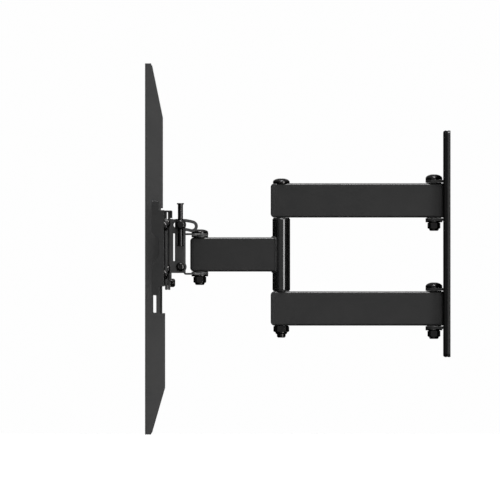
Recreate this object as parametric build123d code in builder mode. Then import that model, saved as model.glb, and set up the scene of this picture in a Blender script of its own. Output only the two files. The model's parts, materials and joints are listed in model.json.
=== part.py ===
from build123d import *
import os
from math import radians, sqrt, tan

# Full motion TV wall mount: a wall plate carries two stacked arms that swing together, a post at
# their far end carries a single front arm, and a swivelling, tilting head carries the TV plate with
# its two upright rails.
#
# Millimetres. X runs along the wall, Y runs out of the room into the wall, Z is up.
# The origin is the middle of the wall plate's back face, so the wall is the plane Y = 0 and every
# piece has a negative Y. The mount stands straight out from the wall with the TV plate upright.

os.makedirs("parts", exist_ok=True)

# ---- driving dimensions -------------------------------------------------------------------------

# arms: rectangular steel tube
ARM_HEIGHT = 40.0
ARM_WIDTH = 16.0
ARM_WALL = 2.0
ARM_EDGE_RADIUS = 2.5
ARM_END_RADIUS = 4.6
ARM_NOSE_RADIUS = 2.4
ARM_TAIL_RADIUS = 3.2
ARM_ROOM_OVERHANG = 12.4
ARM_WALL_OVERHANG = 10.8
FRONT_ARM_OVERHANG = 11.2
CAP_SEAM_ROOM = 7.0
CAP_SEAM_WALL = 6.4
CAP_SPIGOT = 0.9
CAP_KEY = 0.3

UPPER_ARM_Z = 50.6
FRONT_ARM_Z = -12.4
LOWER_ARM_Z = -75.4

# upright axes, counted out from the wall
WALL_PIVOT_Y = -19.0
WALL_ARM_REACH = 178.0
FRONT_ARM_REACH = 95.0
ELBOW_Y = WALL_PIVOT_Y - WALL_ARM_REACH
HEAD_PIVOT_Y = ELBOW_Y - FRONT_ARM_REACH

# level axis of the tilt, and the lock screw above it
TILT_Y = HEAD_PIVOT_Y - 22.5
TILT_Z = -27.0
LOCK_RADIUS = 49.3
LOCK_Z = TILT_Z + LOCK_RADIUS
TILT_FORWARD = 15.0
TILT_BACK = 5.0

# wall plate and its cover
PLATE_WIDTH = 66.0
PLATE_HEIGHT = 264.0
PLATE_THICKNESS = 4.0
PLATE_CORNER = 5.0
COVER_DEPTH = 3.9
COVER_SIDE_WALL = 1.5
COVER_FRONT_WALL = 1.2
COVER_FRONT_ROUND = 1.9
LAYER_ROUND = 1.2
PLATE_BACK_EASE = 0.5
STUD_SLOT_Z = 115.0
STUD_SLOT_LENGTH = 20.0
STUD_SLOT_WIDTH = 9.0
ANCHOR_X = 22.0
ANCHOR_Z = 108.0
ANCHOR_HOLE = 8.5
ACCESS_HOLE = 16.0
STUD_ACCESS_EXTRA = 6.0

# wall clevises
CLEVIS_SHEET = 3.2
CLEVIS_BEND = 2.4
CLEVIS_BASE = 2.5
CLEVIS_HALF_WIDTH = 13.0
CLEVIS_NECK = 3.0
CLEVIS_STEP = 0.5
TAB_RADIUS = 9.8

# fits
RUN_GAP = 0.1
RUN_CLEARANCE = 0.05
BUSH_FLANGE = 0.6
BUSH_SETBACK = 1.2

# M8 swivel bolts
SWIVEL_SHANK = 8.0
SWIVEL_SOCKET = 5.0
SWIVEL_BUSH_OUTER = 10.0
SWIVEL_BUSH_LENGTH = 12.0
SLEEVE_OUTER = 11.8
SWIVEL_NUT_FLATS = 13.0
SWIVEL_NUT_HEIGHT = 10.0
SWIVEL_THREAD_SHORT = 1.0
WALL_DOME_DIAMETER = 19.6
WALL_DOME_HEIGHT = 6.6
WALL_WASHER = 1.6

# M10 elbow bolt and its post
ELBOW_SHANK = 10.0
ELBOW_SOCKET = 6.0
ELBOW_DOME_DIAMETER = 19.6
ELBOW_DOME_HEIGHT = 5.8
ELBOW_NUT_FLATS = 16.0
ELBOW_NUT_HEIGHT = 10.0
ELBOW_THREAD_OUT = 4.0
POST_DIAMETER = 20.6
POST_BORE = 14.0
POST_ROUND = 1.2
POST_FLANGE = 0.9
POST_BUSH_SETBACK = 0.9
POST_BUSH_LENGTH = 14.0

# head swivel
HEAD_DOME_DIAMETER = 19.4
HEAD_DOME_HEIGHT = 4.6
HEAD_BUSH_FLANGE_RADIUS = 9.7
HEAD_TOP_FLANGE = 2.5
HEAD_BOTTOM_FLANGE = 1.4
HEAD_WASHER = 1.9
HEAD_CLEVIS_SHEET = 2.2
HEAD_BEND = 2.6
HEAD_TAB_MARGIN = 0.2
HEAD_NECK = 6.0
HEAD_NECK_FLARE = 2.0
HEAD_SHOULDER = 3.0
HEAD_WEB_BACK_Y = HEAD_PIVOT_Y - 16.6
HEAD_WEB_FRONT_Y = HEAD_WEB_BACK_Y - HEAD_CLEVIS_SHEET

# cheeks at the ends of the clevis web
CHEEK_FRONT_Y = TILT_Y - 6.5
CHEEK_TOP_Z = 28.6
CHEEK_BOTTOM_Z = -34.0
CHEEK_OUTER_X = 26.0
CHEEK_SHEET = 2.2
CHEEK_ROUND = 1.2
CHEEK_CORNER = 2.0
HEAD_WEB_HALF_WIDTH = CHEEK_OUTER_X - CHEEK_SHEET

# M6 tilt pivot and lock
M6 = 6.0
M6_SOCKET = 4.0
M6_HEAD = 10.2
M6_HEAD_HEIGHT = 3.3
M6_NUT_FLATS = 10.0
M6_NUT_HEIGHT = 5.0
M6_THREAD_OUT = 1.0
TILT_WASHER = 1.0
TILT_WASHER_DIAMETER = 13.0
LOCK_WASHER_DIAMETER = 13.0
LOCK_THREAD_END_X = 16.0

# tilting yoke
EAR_SHEET = 2.5
EAR_INNER_X = CHEEK_OUTER_X + TILT_WASHER + RUN_GAP
EAR_OUTER_X = EAR_INNER_X + EAR_SHEET
YOKE_BACK_Y = TILT_Y - 11.9
YOKE_FRONT_Y = YOKE_BACK_Y - 2.8
YOKE_RIM_Y = TILT_Y - 8.6
YOKE_BEND = 2.6
YOKE_TOP_Z = 29.0
YOKE_BOTTOM_Z = -34.0
YOKE_SKIRT_Z = -41.0
YOKE_SKIRT_DEPTH = 4.2
LOCK_SLOT = 6.8
LOCK_SLOT_WALL = 3.5
LOWER_EAR_RADIUS = 7.0
TONGUE_HALF_WIDTH = 20.0
YOKE_TAB_HALF_WIDTH = 9.0
THUMB_Z = -45.5
THUMB_TAB_RADIUS = 8.2
THUMB_HOLE_EASE = 0.3

# hanger plate, hung on the yoke
HANGER_BACK_Y = YOKE_FRONT_Y - 0.2
HANGER_SHEET = 3.2
HANGER_EDGE = 0.6
HANGER_CORNER = 4.0
HANGER_WASHER_DIAMETER = 14.0
HANGER_HALF_WIDTH = 45.0
HANGER_BOTTOM_Z = -49.0
HANGER_BOLT_X = 38.0
HANGER_BOLT_Z = (23.7, -29.9)

# cross plate
CROSS_BACK_Y = HANGER_BACK_Y - HANGER_SHEET - 0.4
CROSS_SHEET = 2.5
CROSS_LIP = 2.0
CROSS_LIP_Y = CROSS_BACK_Y - 5.4
CROSS_HALF_WIDTH = 215.0
CROSS_TOP_Z = 38.9
CROSS_BOTTOM_Z = -49.2
FLANGE_FRONT_Y = CROSS_BACK_Y - 13.9
FLANGE_TOP_Z = 49.1
FLANGE_BOTTOM_Z = -59.3
HOOK_HALF_WIDTH = 22.0
HOOK_BACK_Y = YOKE_BACK_Y + 2.3
HOOK_LIP_Z = 30.0
HOOK_ROOT_Z = 29.3
HOOK_ROOT = 2.5
HOOK_EASE = 1.0
HOOK_GAP = 0.2

# upright rails
RAIL_X = 100.0
RAIL_HALF_WIDTH = 15.0
RAIL_SHEET = 2.0
RAIL_FRONT_Y = CROSS_BACK_Y - 22.2
RAIL_CENTRE_Z = -6.0
RAIL_HALF_LENGTH = 215.2
RAIL_SLOT_WIDTH = 8.5
RAIL_SLOT_LENGTH = 64.0
RAIL_NOTCH_Y = CROSS_BACK_Y - 5.7
RAIL_BOLT_Z = (20.0, -36.0)
ADJUST_SLOT_LENGTH = 150.0
ADJUST_SLOT_X = 130.0
ADJUST_SLOT_CLEARANCE = 0.6
RAIL_ROUND = 1.8
WIDE_WASHER_DIAMETER = 15.0

# tilt lock screw and its sliding bar
LOCK_HUB_DIAMETER = 11.0
LOCK_HUB_LENGTH = 13.0
LOCK_HUB_ROUND = 2.4
LOCK_COLLAR = 2.0
LOCK_COLLAR_RADIUS = 6.3
BAR_DIAMETER = 6.0
BAR_LENGTH = 50.2
BAR_BUTTON = 8.2
BAR_BUTTON_THICKNESS = 1.6
BAR_EDGE = 0.5


# ---- fasteners, each made along Z with its seat at the origin -----------------------------------


def dome_bolt(head_diameter, head_height, shank_diameter, length, socket_flats):
    """A button-head bolt: the head stands above the origin and the shank hangs below it."""
    head_radius = head_diameter / 2
    shank_radius = shank_diameter / 2
    rim = 0.28 * head_height
    tip = 0.12 * shank_diameter
    with BuildPart() as bolt:
        with BuildSketch(Plane.XZ):
            with BuildLine():
                EllipticalCenterArc((0, rim), head_radius, head_height - rim, arc_size=90)
                Polyline(
                    (head_radius, rim),
                    (head_radius, 0),
                    (shank_radius, 0),
                    (shank_radius, tip - length),
                    (shank_radius - tip, -length),
                    (0, -length),
                    (0, head_height),
                )
            make_face()
        revolve(axis=Axis.Z)
        with BuildSketch(Plane.XY.offset(head_height)):
            RegularPolygon(socket_flats / 2, 6, major_radius=False)
        extrude(amount=-0.6 * head_height, mode=Mode.SUBTRACT)
    return bolt.part


def lock_nut(flats, height, thread_diameter):
    """A nylon-insert nut: the seat is at the origin and the rounded collar points up."""
    corner = flats / sqrt(3)
    seat = 0.94 * flats / 2
    hex_height = 0.76 * height
    slope = (corner - seat) * tan(radians(30))
    collar = 0.86 * flats / 2
    bore = thread_diameter / 2 + RUN_CLEARANCE
    round_off = 0.8 * (height - hex_height)
    with BuildPart() as nut:
        with BuildSketch():
            RegularPolygon(corner, 6, rotation=30)
        extrude(amount=hex_height)
        with BuildSketch(Plane.XZ):
            Polygon(
                (0, 0),
                (seat, 0),
                (corner, slope),
                (corner, hex_height - slope),
                (seat, hex_height),
                (0, hex_height),
                align=None,
            )
        revolve(axis=Axis.Z, mode=Mode.INTERSECT)
        with BuildSketch(Plane.XZ):
            with Locations((collar / 2, (height + hex_height) / 2 - 0.2)):
                Rectangle(collar, height - hex_height + 0.4)
            outer = vertices().group_by(Axis.Y)[-1].sort_by(Axis.X)[-1]
            fillet(outer, round_off)
        revolve(axis=Axis.Z)
        Cylinder(bore, 3 * height, mode=Mode.SUBTRACT)
    return nut.part


def washer(outer_diameter, hole_diameter, thickness):
    """A flat washer from the origin up, with its rim eased."""
    with BuildPart() as ring:
        with BuildSketch():
            Circle(outer_diameter / 2)
            Circle(hole_diameter / 2, mode=Mode.SUBTRACT)
        extrude(amount=thickness)
        rim = ring.edges().filter_by(GeomType.CIRCLE).group_by(SortBy.RADIUS)[-1]
        chamfer(rim, 0.18 * thickness)
    return ring.part


def flanged_bush(flange_radius, flange, outer_radius, bore_radius, length):
    """A plain bush: its flange stands up from the origin and its barrel hangs below."""
    with BuildPart() as bush:
        with BuildSketch():
            Circle(flange_radius)
        extrude(amount=flange)
        with BuildSketch():
            Circle(outer_radius)
        extrude(amount=-length)
        Cylinder(bore_radius, 4 * length, mode=Mode.SUBTRACT)
    return bush.part


def at(x, y, z, turn=(0, 0, 0)):
    """A place for a fastener: its seat, and the turn that aims it."""
    return Location((x, y, z), turn)


UPSIDE_DOWN = (180, 0, 0)
HEAD_TO_PLUS_X = (0, 90, 0)
HEAD_TO_MINUS_X = (0, -90, 0)
HEAD_TO_WALL = (-90, 0, 0)
HEAD_TO_TV = (90, 0, 0)


def group(pieces_and_places):
    """Several separate fasteners as one part."""
    with BuildPart() as together:
        for piece, places in pieces_and_places:
            with Locations(*places):
                add(piece)
    return together.part


def finish(part, name):
    """Label a finished piece and write it out."""
    part.label = name
    export_step(part, f"parts/{name}.step")


# ---- wall plate ---------------------------------------------------------------------------------

arm_levels = {"upper": UPPER_ARM_Z, "lower": LOWER_ARM_Z}
stud_places = [(0, STUD_SLOT_Z), (0, -STUD_SLOT_Z)]
anchor_places = [(x, z) for x in (-ANCHOR_X, ANCHOR_X) for z in (-ANCHOR_Z, ANCHOR_Z)]

with BuildPart() as wall_plate:
    with BuildSketch(Plane.XZ):
        RectangleRounded(PLATE_WIDTH, PLATE_HEIGHT, PLATE_CORNER)
    extrude(amount=PLATE_THICKNESS)
    fillet(wall_plate.faces().sort_by(Axis.Y)[0].edges(), LAYER_ROUND)
    chamfer(wall_plate.faces().sort_by(Axis.Y)[-1].edges(), PLATE_BACK_EASE)
    with BuildSketch(Plane.XZ):
        with Locations(*stud_places):
            SlotOverall(STUD_SLOT_LENGTH, STUD_SLOT_WIDTH, rotation=90)
        with Locations(*anchor_places):
            Circle(ANCHOR_HOLE / 2)
    extrude(amount=PLATE_THICKNESS, mode=Mode.SUBTRACT)
finish(wall_plate.part, "wall_plate")

CLEVIS_HALF_HEIGHT = ARM_HEIGHT / 2 + BUSH_FLANGE + RUN_GAP + CLEVIS_SHEET
WINDOW_CLEARANCE = 0.6
WINDOW_CORNER = 2.0
cover_plane = Plane.XZ.offset(PLATE_THICKNESS)

with BuildPart() as wall_plate_cover:
    with BuildSketch(cover_plane):
        RectangleRounded(PLATE_WIDTH, PLATE_HEIGHT, PLATE_CORNER)
    extrude(amount=COVER_DEPTH)
    fillet(wall_plate_cover.faces().sort_by(Axis.Y)[0].edges(), COVER_FRONT_ROUND)
    fillet(wall_plate_cover.faces().sort_by(Axis.Y)[-1].edges(), LAYER_ROUND)
    with BuildSketch(cover_plane):
        RectangleRounded(
            PLATE_WIDTH - 2 * COVER_SIDE_WALL,
            PLATE_HEIGHT - 2 * COVER_SIDE_WALL,
            PLATE_CORNER - COVER_SIDE_WALL,
        )
    extrude(amount=COVER_DEPTH - COVER_FRONT_WALL, mode=Mode.SUBTRACT)
    with BuildSketch(cover_plane):
        with Locations(*[(0, z) for z in arm_levels.values()]):
            RectangleRounded(
                2 * (CLEVIS_HALF_WIDTH + WINDOW_CLEARANCE),
                2 * (CLEVIS_HALF_HEIGHT + WINDOW_CLEARANCE),
                WINDOW_CORNER,
            )
        with Locations(*stud_places):
            SlotOverall(STUD_SLOT_LENGTH + STUD_ACCESS_EXTRA, ACCESS_HOLE, rotation=90)
        with Locations(*anchor_places):
            Circle(ACCESS_HOLE / 2)
    extrude(amount=COVER_DEPTH, mode=Mode.SUBTRACT)
finish(wall_plate_cover.part, "wall_plate_cover")

# each wall clevis is a bent strip: a base welded to the plate and a tab above and below the arm
CLEVIS_REACH = -WALL_PIVOT_Y + TAB_RADIUS - PLATE_THICKNESS
CLEVIS_MIDDLE_Y = WALL_PIVOT_Y - TAB_RADIUS + CLEVIS_REACH / 2
TAB_GAP = 2 * (CLEVIS_HALF_HEIGHT - CLEVIS_SHEET)

for level, arm_z in arm_levels.items():
    with BuildPart() as wall_clevis:
        with BuildSketch(Plane.YZ):
            with Locations((CLEVIS_MIDDLE_Y, arm_z)):
                Rectangle(CLEVIS_REACH, 2 * CLEVIS_HALF_HEIGHT)
            fillet(vertices().group_by(Axis.X)[-1], CLEVIS_BEND)
            with Locations((CLEVIS_MIDDLE_Y - CLEVIS_BASE, arm_z)):
                Rectangle(CLEVIS_REACH, TAB_GAP, mode=Mode.SUBTRACT)
        extrude(amount=CLEVIS_HALF_WIDTH, both=True)
        with BuildSketch():
            with BuildLine():
                base_front = -PLATE_THICKNESS - CLEVIS_BASE - CLEVIS_STEP
                Polyline(
                    (-TAB_RADIUS, WALL_PIVOT_Y),
                    (-TAB_RADIUS, base_front - CLEVIS_NECK),
                    (-CLEVIS_HALF_WIDTH, base_front),
                    (-CLEVIS_HALF_WIDTH, -PLATE_THICKNESS),
                    (CLEVIS_HALF_WIDTH, -PLATE_THICKNESS),
                    (CLEVIS_HALF_WIDTH, base_front),
                    (TAB_RADIUS, base_front - CLEVIS_NECK),
                    (TAB_RADIUS, WALL_PIVOT_Y),
                )
                ThreePointArc(
                    (TAB_RADIUS, WALL_PIVOT_Y),
                    (0, WALL_PIVOT_Y - TAB_RADIUS),
                    (-TAB_RADIUS, WALL_PIVOT_Y),
                )
            make_face()
            with Locations((0, WALL_PIVOT_Y)):
                Circle(SWIVEL_SHANK / 2 + RUN_CLEARANCE, mode=Mode.SUBTRACT)
        extrude(amount=2 * PLATE_HEIGHT, both=True, mode=Mode.INTERSECT)
    finish(wall_clevis.part, f"{level}_wall_clevis")

wall_bolt_length = 2 * CLEVIS_HALF_HEIGHT + WALL_WASHER + SWIVEL_NUT_HEIGHT - SWIVEL_THREAD_SHORT
wall_bolt = dome_bolt(
    WALL_DOME_DIAMETER, WALL_DOME_HEIGHT, SWIVEL_SHANK, wall_bolt_length, SWIVEL_SOCKET
)
wall_washer = washer(WALL_DOME_DIAMETER, SWIVEL_SHANK + 2 * RUN_CLEARANCE, WALL_WASHER)
swivel_nut = lock_nut(SWIVEL_NUT_FLATS, SWIVEL_NUT_HEIGHT, SWIVEL_SHANK)

head_seats = [at(0, WALL_PIVOT_Y, z + CLEVIS_HALF_HEIGHT) for z in arm_levels.values()]
washer_seats = [
    at(0, WALL_PIVOT_Y, z - CLEVIS_HALF_HEIGHT, UPSIDE_DOWN) for z in arm_levels.values()
]
nut_seats = [
    at(0, WALL_PIVOT_Y, z - CLEVIS_HALF_HEIGHT - WALL_WASHER, UPSIDE_DOWN)
    for z in arm_levels.values()
]
finish(group([(wall_bolt, head_seats)]), "wall_pivot_bolts")
finish(group([(wall_washer, washer_seats)]), "wall_pivot_washers")
finish(group([(swivel_nut, nut_seats)]), "wall_pivot_nuts")

# ---- arms ---------------------------------------------------------------------------------------


def arm_body(room_y, wall_y, centre_z, wall_end_round=True):
    """The outside of an arm: tube section, rounded ends in plan, corners eased in side view."""
    length = wall_y - room_y
    middle_y = (wall_y + room_y) / 2
    half_width = ARM_WIDTH / 2
    with BuildPart() as body:
        with BuildSketch(Plane.YZ):
            with Locations((middle_y, centre_z)):
                Rectangle(length, ARM_HEIGHT)
            fillet(vertices().group_by(Axis.X)[0], ARM_END_RADIUS)
        extrude(amount=half_width, both=True)
        with BuildSketch(Plane.XY.offset(centre_z)):
            with Locations((0, middle_y)):
                Rectangle(ARM_WIDTH, length)
            fillet(vertices().group_by(Axis.Y)[0], ARM_NOSE_RADIUS)
            if wall_end_round:
                fillet(vertices().group_by(Axis.Y)[-1], ARM_TAIL_RADIUS)
        extrude(amount=ARM_HEIGHT, both=True, mode=Mode.INTERSECT)
        with BuildSketch(Plane.XZ.offset(-wall_y)):
            with Locations((0, centre_z)):
                RectangleRounded(ARM_WIDTH, ARM_HEIGHT, ARM_EDGE_RADIUS)
        extrude(amount=length, mode=Mode.INTERSECT)
    return body.part


def slice_of(body, room_y, wall_y):
    """The stretch of an arm's outside between two planes square to it."""
    with BuildPart() as piece:
        add(body)
        split(bisect_by=Plane.XZ.offset(-room_y), keep=Keep.BOTTOM)
        split(bisect_by=Plane.XZ.offset(-wall_y), keep=Keep.TOP)
    return piece.part


def cavity(room_y, wall_y, centre_z, ease=0.0):
    """The hollow of an arm, or with ease the spigot of a cap that plugs it."""
    with BuildPart() as hollow:
        with BuildSketch(Plane.XZ.offset(-wall_y)):
            with Locations((0, centre_z)):
                Rectangle(ARM_WIDTH - 2 * ARM_WALL - ease, ARM_HEIGHT - 2 * ARM_WALL - ease)
        extrude(amount=wall_y - room_y)
    return hollow.part


def cap_of(body, room_y, wall_y, spigot_from, spigot_to, centre_z):
    """A moulded end cap: the arm's nose and a short spigot that plugs the tube."""
    nose = slice_of(body, room_y, wall_y)
    with BuildPart() as cap:
        add(nose)
        add(cavity(spigot_from, spigot_to, centre_z, RUN_GAP))
    return cap.part


def pivot_tube(outer_diameter, bore_diameter, centre_y, centre_z):
    """A steel sleeve inside an arm, from the lower wall of the tube to the upper one."""
    with BuildPart() as sleeve:
        with BuildSketch(Plane.XY.offset(centre_z - ARM_HEIGHT / 2 + ARM_WALL)):
            with Locations((0, centre_y)):
                Circle(outer_diameter / 2)
                Circle(bore_diameter / 2, mode=Mode.SUBTRACT)
        extrude(amount=ARM_HEIGHT - 2 * ARM_WALL)
    return sleeve.part


room_end_y = ELBOW_Y - ARM_ROOM_OVERHANG
wall_end_y = WALL_PIVOT_Y + ARM_WALL_OVERHANG
room_seam_y = ELBOW_Y - CAP_SEAM_ROOM
wall_seam_y = WALL_PIVOT_Y + CAP_SEAM_WALL

for level, arm_z in arm_levels.items():
    outside = arm_body(room_end_y, wall_end_y, arm_z)
    middle = slice_of(outside, room_seam_y, wall_seam_y)
    with BuildPart() as wall_arm:
        add(middle)
        add(cavity(room_end_y, wall_end_y, arm_z), mode=Mode.SUBTRACT)
        with Locations((0, WALL_PIVOT_Y, arm_z)):
            Cylinder(SWIVEL_BUSH_OUTER / 2, 2 * ARM_HEIGHT, mode=Mode.SUBTRACT)
        with Locations((0, ELBOW_Y, arm_z)):
            Cylinder(ELBOW_SHANK / 2 + RUN_CLEARANCE, 2 * ARM_HEIGHT, mode=Mode.SUBTRACT)
    finish(wall_arm.part, f"{level}_wall_arm")
    room_cap = cap_of(outside, room_end_y, room_seam_y, room_seam_y, room_seam_y + CAP_SPIGOT, arm_z)
    wall_cap = cap_of(outside, wall_seam_y, wall_end_y, wall_seam_y - CAP_KEY, wall_seam_y, arm_z)
    finish(room_cap, f"{level}_arm_room_cap")
    finish(wall_cap, f"{level}_arm_wall_cap")

wall_sleeves = group(
    [
        (pivot_tube(SLEEVE_OUTER, SWIVEL_BUSH_OUTER, WALL_PIVOT_Y, z), [at(0, 0, 0)])
        for z in arm_levels.values()
    ]
)
finish(wall_sleeves, "wall_pivot_sleeves")

elbow_sleeves = group(
    [
        (pivot_tube(SLEEVE_OUTER, ELBOW_SHANK + 2 * RUN_CLEARANCE, ELBOW_Y, z), [at(0, 0, 0)])
        for z in arm_levels.values()
    ]
)
finish(elbow_sleeves, "elbow_sleeves")

wall_bush = flanged_bush(
    TAB_RADIUS - BUSH_SETBACK,
    BUSH_FLANGE,
    SWIVEL_BUSH_OUTER / 2,
    SWIVEL_SHANK / 2 + RUN_CLEARANCE,
    SWIVEL_BUSH_LENGTH,
)
wall_bush_seats = []
for arm_z in arm_levels.values():
    wall_bush_seats.append(at(0, WALL_PIVOT_Y, arm_z + ARM_HEIGHT / 2))
    wall_bush_seats.append(at(0, WALL_PIVOT_Y, arm_z - ARM_HEIGHT / 2, UPSIDE_DOWN))
finish(group([(wall_bush, wall_bush_seats)]), "wall_pivot_bushes")

# ---- elbow --------------------------------------------------------------------------------------

upper_arm_top = UPPER_ARM_Z + ARM_HEIGHT / 2
upper_arm_bottom = UPPER_ARM_Z - ARM_HEIGHT / 2
lower_arm_top = LOWER_ARM_Z + ARM_HEIGHT / 2
lower_arm_bottom = LOWER_ARM_Z - ARM_HEIGHT / 2
elbow_bolt_length = upper_arm_top - lower_arm_bottom + ELBOW_NUT_HEIGHT + ELBOW_THREAD_OUT

elbow_bolt = group(
    [
        (
            dome_bolt(
                ELBOW_DOME_DIAMETER,
                ELBOW_DOME_HEIGHT,
                ELBOW_SHANK,
                elbow_bolt_length,
                ELBOW_SOCKET,
            ),
            [at(0, ELBOW_Y, upper_arm_top)],
        )
    ]
)
finish(elbow_bolt, "elbow_bolt")
elbow_nut = lock_nut(ELBOW_NUT_FLATS, ELBOW_NUT_HEIGHT, ELBOW_SHANK)
finish(group([(elbow_nut, [at(0, ELBOW_Y, lower_arm_bottom, UPSIDE_DOWN)])]), "elbow_nut")

post_top = upper_arm_bottom - POST_FLANGE - RUN_GAP
post_bottom = lower_arm_top + POST_FLANGE + RUN_GAP
with BuildPart() as elbow_post:
    with BuildSketch(Plane.XY.offset(post_bottom)):
        with Locations((0, ELBOW_Y)):
            Circle(POST_DIAMETER / 2)
            Circle(POST_BORE / 2, mode=Mode.SUBTRACT)
    extrude(amount=post_top - post_bottom)
    rims = elbow_post.edges().filter_by(GeomType.CIRCLE).group_by(SortBy.RADIUS)[-1]
    fillet(rims, POST_ROUND)
finish(elbow_post.part, "elbow_post")

post_bush = flanged_bush(
    POST_DIAMETER / 2 - POST_BUSH_SETBACK,
    POST_FLANGE,
    POST_BORE / 2,
    ELBOW_SHANK / 2 + RUN_CLEARANCE,
    POST_BUSH_LENGTH,
)
post_bush_seats = [at(0, ELBOW_Y, post_top), at(0, ELBOW_Y, post_bottom, UPSIDE_DOWN)]
finish(group([(post_bush, post_bush_seats)]), "elbow_bushes")

# ---- front arm, its end fitted round the post ---------------------------------------------------

front_room_y = HEAD_PIVOT_Y - FRONT_ARM_OVERHANG
front_seam_y = HEAD_PIVOT_Y - CAP_SEAM_ROOM
front_outside = arm_body(front_room_y, ELBOW_Y, FRONT_ARM_Z, wall_end_round=False)
front_middle = slice_of(front_outside, front_seam_y, ELBOW_Y)

with BuildPart() as front_arm:
    add(front_middle)
    add(cavity(front_room_y, ELBOW_Y, FRONT_ARM_Z), mode=Mode.SUBTRACT)
    with Locations((0, ELBOW_Y, FRONT_ARM_Z)):
        Cylinder(POST_DIAMETER / 2, 2 * ARM_HEIGHT, mode=Mode.SUBTRACT)
    with Locations((0, HEAD_PIVOT_Y, FRONT_ARM_Z)):
        Cylinder(SWIVEL_BUSH_OUTER / 2, 2 * ARM_HEIGHT, mode=Mode.SUBTRACT)
finish(front_arm.part, "front_arm")

front_cap = cap_of(
    front_outside,
    front_room_y,
    front_seam_y,
    front_seam_y,
    front_seam_y + CAP_SPIGOT,
    FRONT_ARM_Z,
)
finish(front_cap, "front_arm_cap")
finish(
    pivot_tube(SLEEVE_OUTER, SWIVEL_BUSH_OUTER, HEAD_PIVOT_Y, FRONT_ARM_Z),
    "head_pivot_sleeve",
)

front_arm_top = FRONT_ARM_Z + ARM_HEIGHT / 2
front_arm_bottom = FRONT_ARM_Z - ARM_HEIGHT / 2
head_bush_sizes = (SWIVEL_BUSH_OUTER / 2, SWIVEL_SHANK / 2 + RUN_CLEARANCE, SWIVEL_BUSH_LENGTH)
upper_head_bush = flanged_bush(HEAD_BUSH_FLANGE_RADIUS, HEAD_TOP_FLANGE, *head_bush_sizes)
lower_head_bush = flanged_bush(HEAD_BUSH_FLANGE_RADIUS, HEAD_BOTTOM_FLANGE, *head_bush_sizes)
finish(
    group(
        [
            (upper_head_bush, [at(0, HEAD_PIVOT_Y, front_arm_top)]),
            (lower_head_bush, [at(0, HEAD_PIVOT_Y, front_arm_bottom, UPSIDE_DOWN)]),
        ]
    ),
    "head_pivot_bushes",
)

# ---- swivelling head ----------------------------------------------------------------------------

clevis_gap_top = front_arm_top + HEAD_TOP_FLANGE + RUN_GAP
clevis_gap_bottom = front_arm_bottom - HEAD_BOTTOM_FLANGE - RUN_GAP
clevis_top = clevis_gap_top + HEAD_CLEVIS_SHEET
clevis_bottom = clevis_gap_bottom - HEAD_CLEVIS_SHEET
flange_radius = HEAD_BUSH_FLANGE_RADIUS + HEAD_TAB_MARGIN
flange_end_y = HEAD_PIVOT_Y + flange_radius
clevis_depth = flange_end_y - HEAD_WEB_FRONT_Y
clevis_middle = ((flange_end_y + HEAD_WEB_FRONT_Y) / 2, (clevis_top + clevis_bottom) / 2)

with BuildPart() as swivel_clevis:
    with BuildSketch(Plane.YZ):
        with Locations(clevis_middle):
            Rectangle(clevis_depth, clevis_top - clevis_bottom)
        fillet(vertices().group_by(Axis.X)[0], HEAD_BEND)
        inner_height = clevis_gap_top - clevis_gap_bottom
        inner_z = (clevis_gap_top + clevis_gap_bottom) / 2
        with Locations((clevis_middle[0] + HEAD_CLEVIS_SHEET, inner_z)):
            Rectangle(clevis_depth, inner_height, mode=Mode.SUBTRACT)
    extrude(amount=HEAD_WEB_HALF_WIDTH, both=True)
    with BuildSketch():
        with BuildLine():
            Polyline(
                (flange_radius, HEAD_PIVOT_Y),
                (flange_radius + HEAD_NECK_FLARE, HEAD_PIVOT_Y - HEAD_NECK),
                (HEAD_WEB_HALF_WIDTH, HEAD_WEB_BACK_Y + HEAD_SHOULDER),
                (HEAD_WEB_HALF_WIDTH, HEAD_WEB_FRONT_Y),
                (-HEAD_WEB_HALF_WIDTH, HEAD_WEB_FRONT_Y),
                (-HEAD_WEB_HALF_WIDTH, HEAD_WEB_BACK_Y + HEAD_SHOULDER),
                (-flange_radius - HEAD_NECK_FLARE, HEAD_PIVOT_Y - HEAD_NECK),
                (-flange_radius, HEAD_PIVOT_Y),
            )
            ThreePointArc(
                (-flange_radius, HEAD_PIVOT_Y),
                (0, flange_end_y),
                (flange_radius, HEAD_PIVOT_Y),
            )
        make_face()
        with Locations((0, HEAD_PIVOT_Y)):
            Circle(SWIVEL_SHANK / 2 + RUN_CLEARANCE, mode=Mode.SUBTRACT)
    extrude(amount=2 * ARM_HEIGHT, both=True, mode=Mode.INTERSECT)
finish(swivel_clevis.part, "swivel_clevis")

head_nut_end = HEAD_WASHER + SWIVEL_NUT_HEIGHT
head_bolt_length = clevis_top - clevis_bottom + head_nut_end - SWIVEL_THREAD_SHORT
head_bolt = dome_bolt(
    HEAD_DOME_DIAMETER, HEAD_DOME_HEIGHT, SWIVEL_SHANK, head_bolt_length, SWIVEL_SOCKET
)
head_washer = washer(HEAD_DOME_DIAMETER, SWIVEL_SHANK + 2 * RUN_CLEARANCE, HEAD_WASHER)
head_washer_seat = at(0, HEAD_PIVOT_Y, clevis_bottom, UPSIDE_DOWN)
head_nut_seat = at(0, HEAD_PIVOT_Y, clevis_bottom - HEAD_WASHER, UPSIDE_DOWN)
finish(group([(head_bolt, [at(0, HEAD_PIVOT_Y, clevis_top)])]), "head_pivot_bolt")
finish(group([(head_washer, [head_washer_seat])]), "head_pivot_washer")
finish(group([(swivel_nut, [head_nut_seat])]), "head_pivot_nut")

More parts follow.
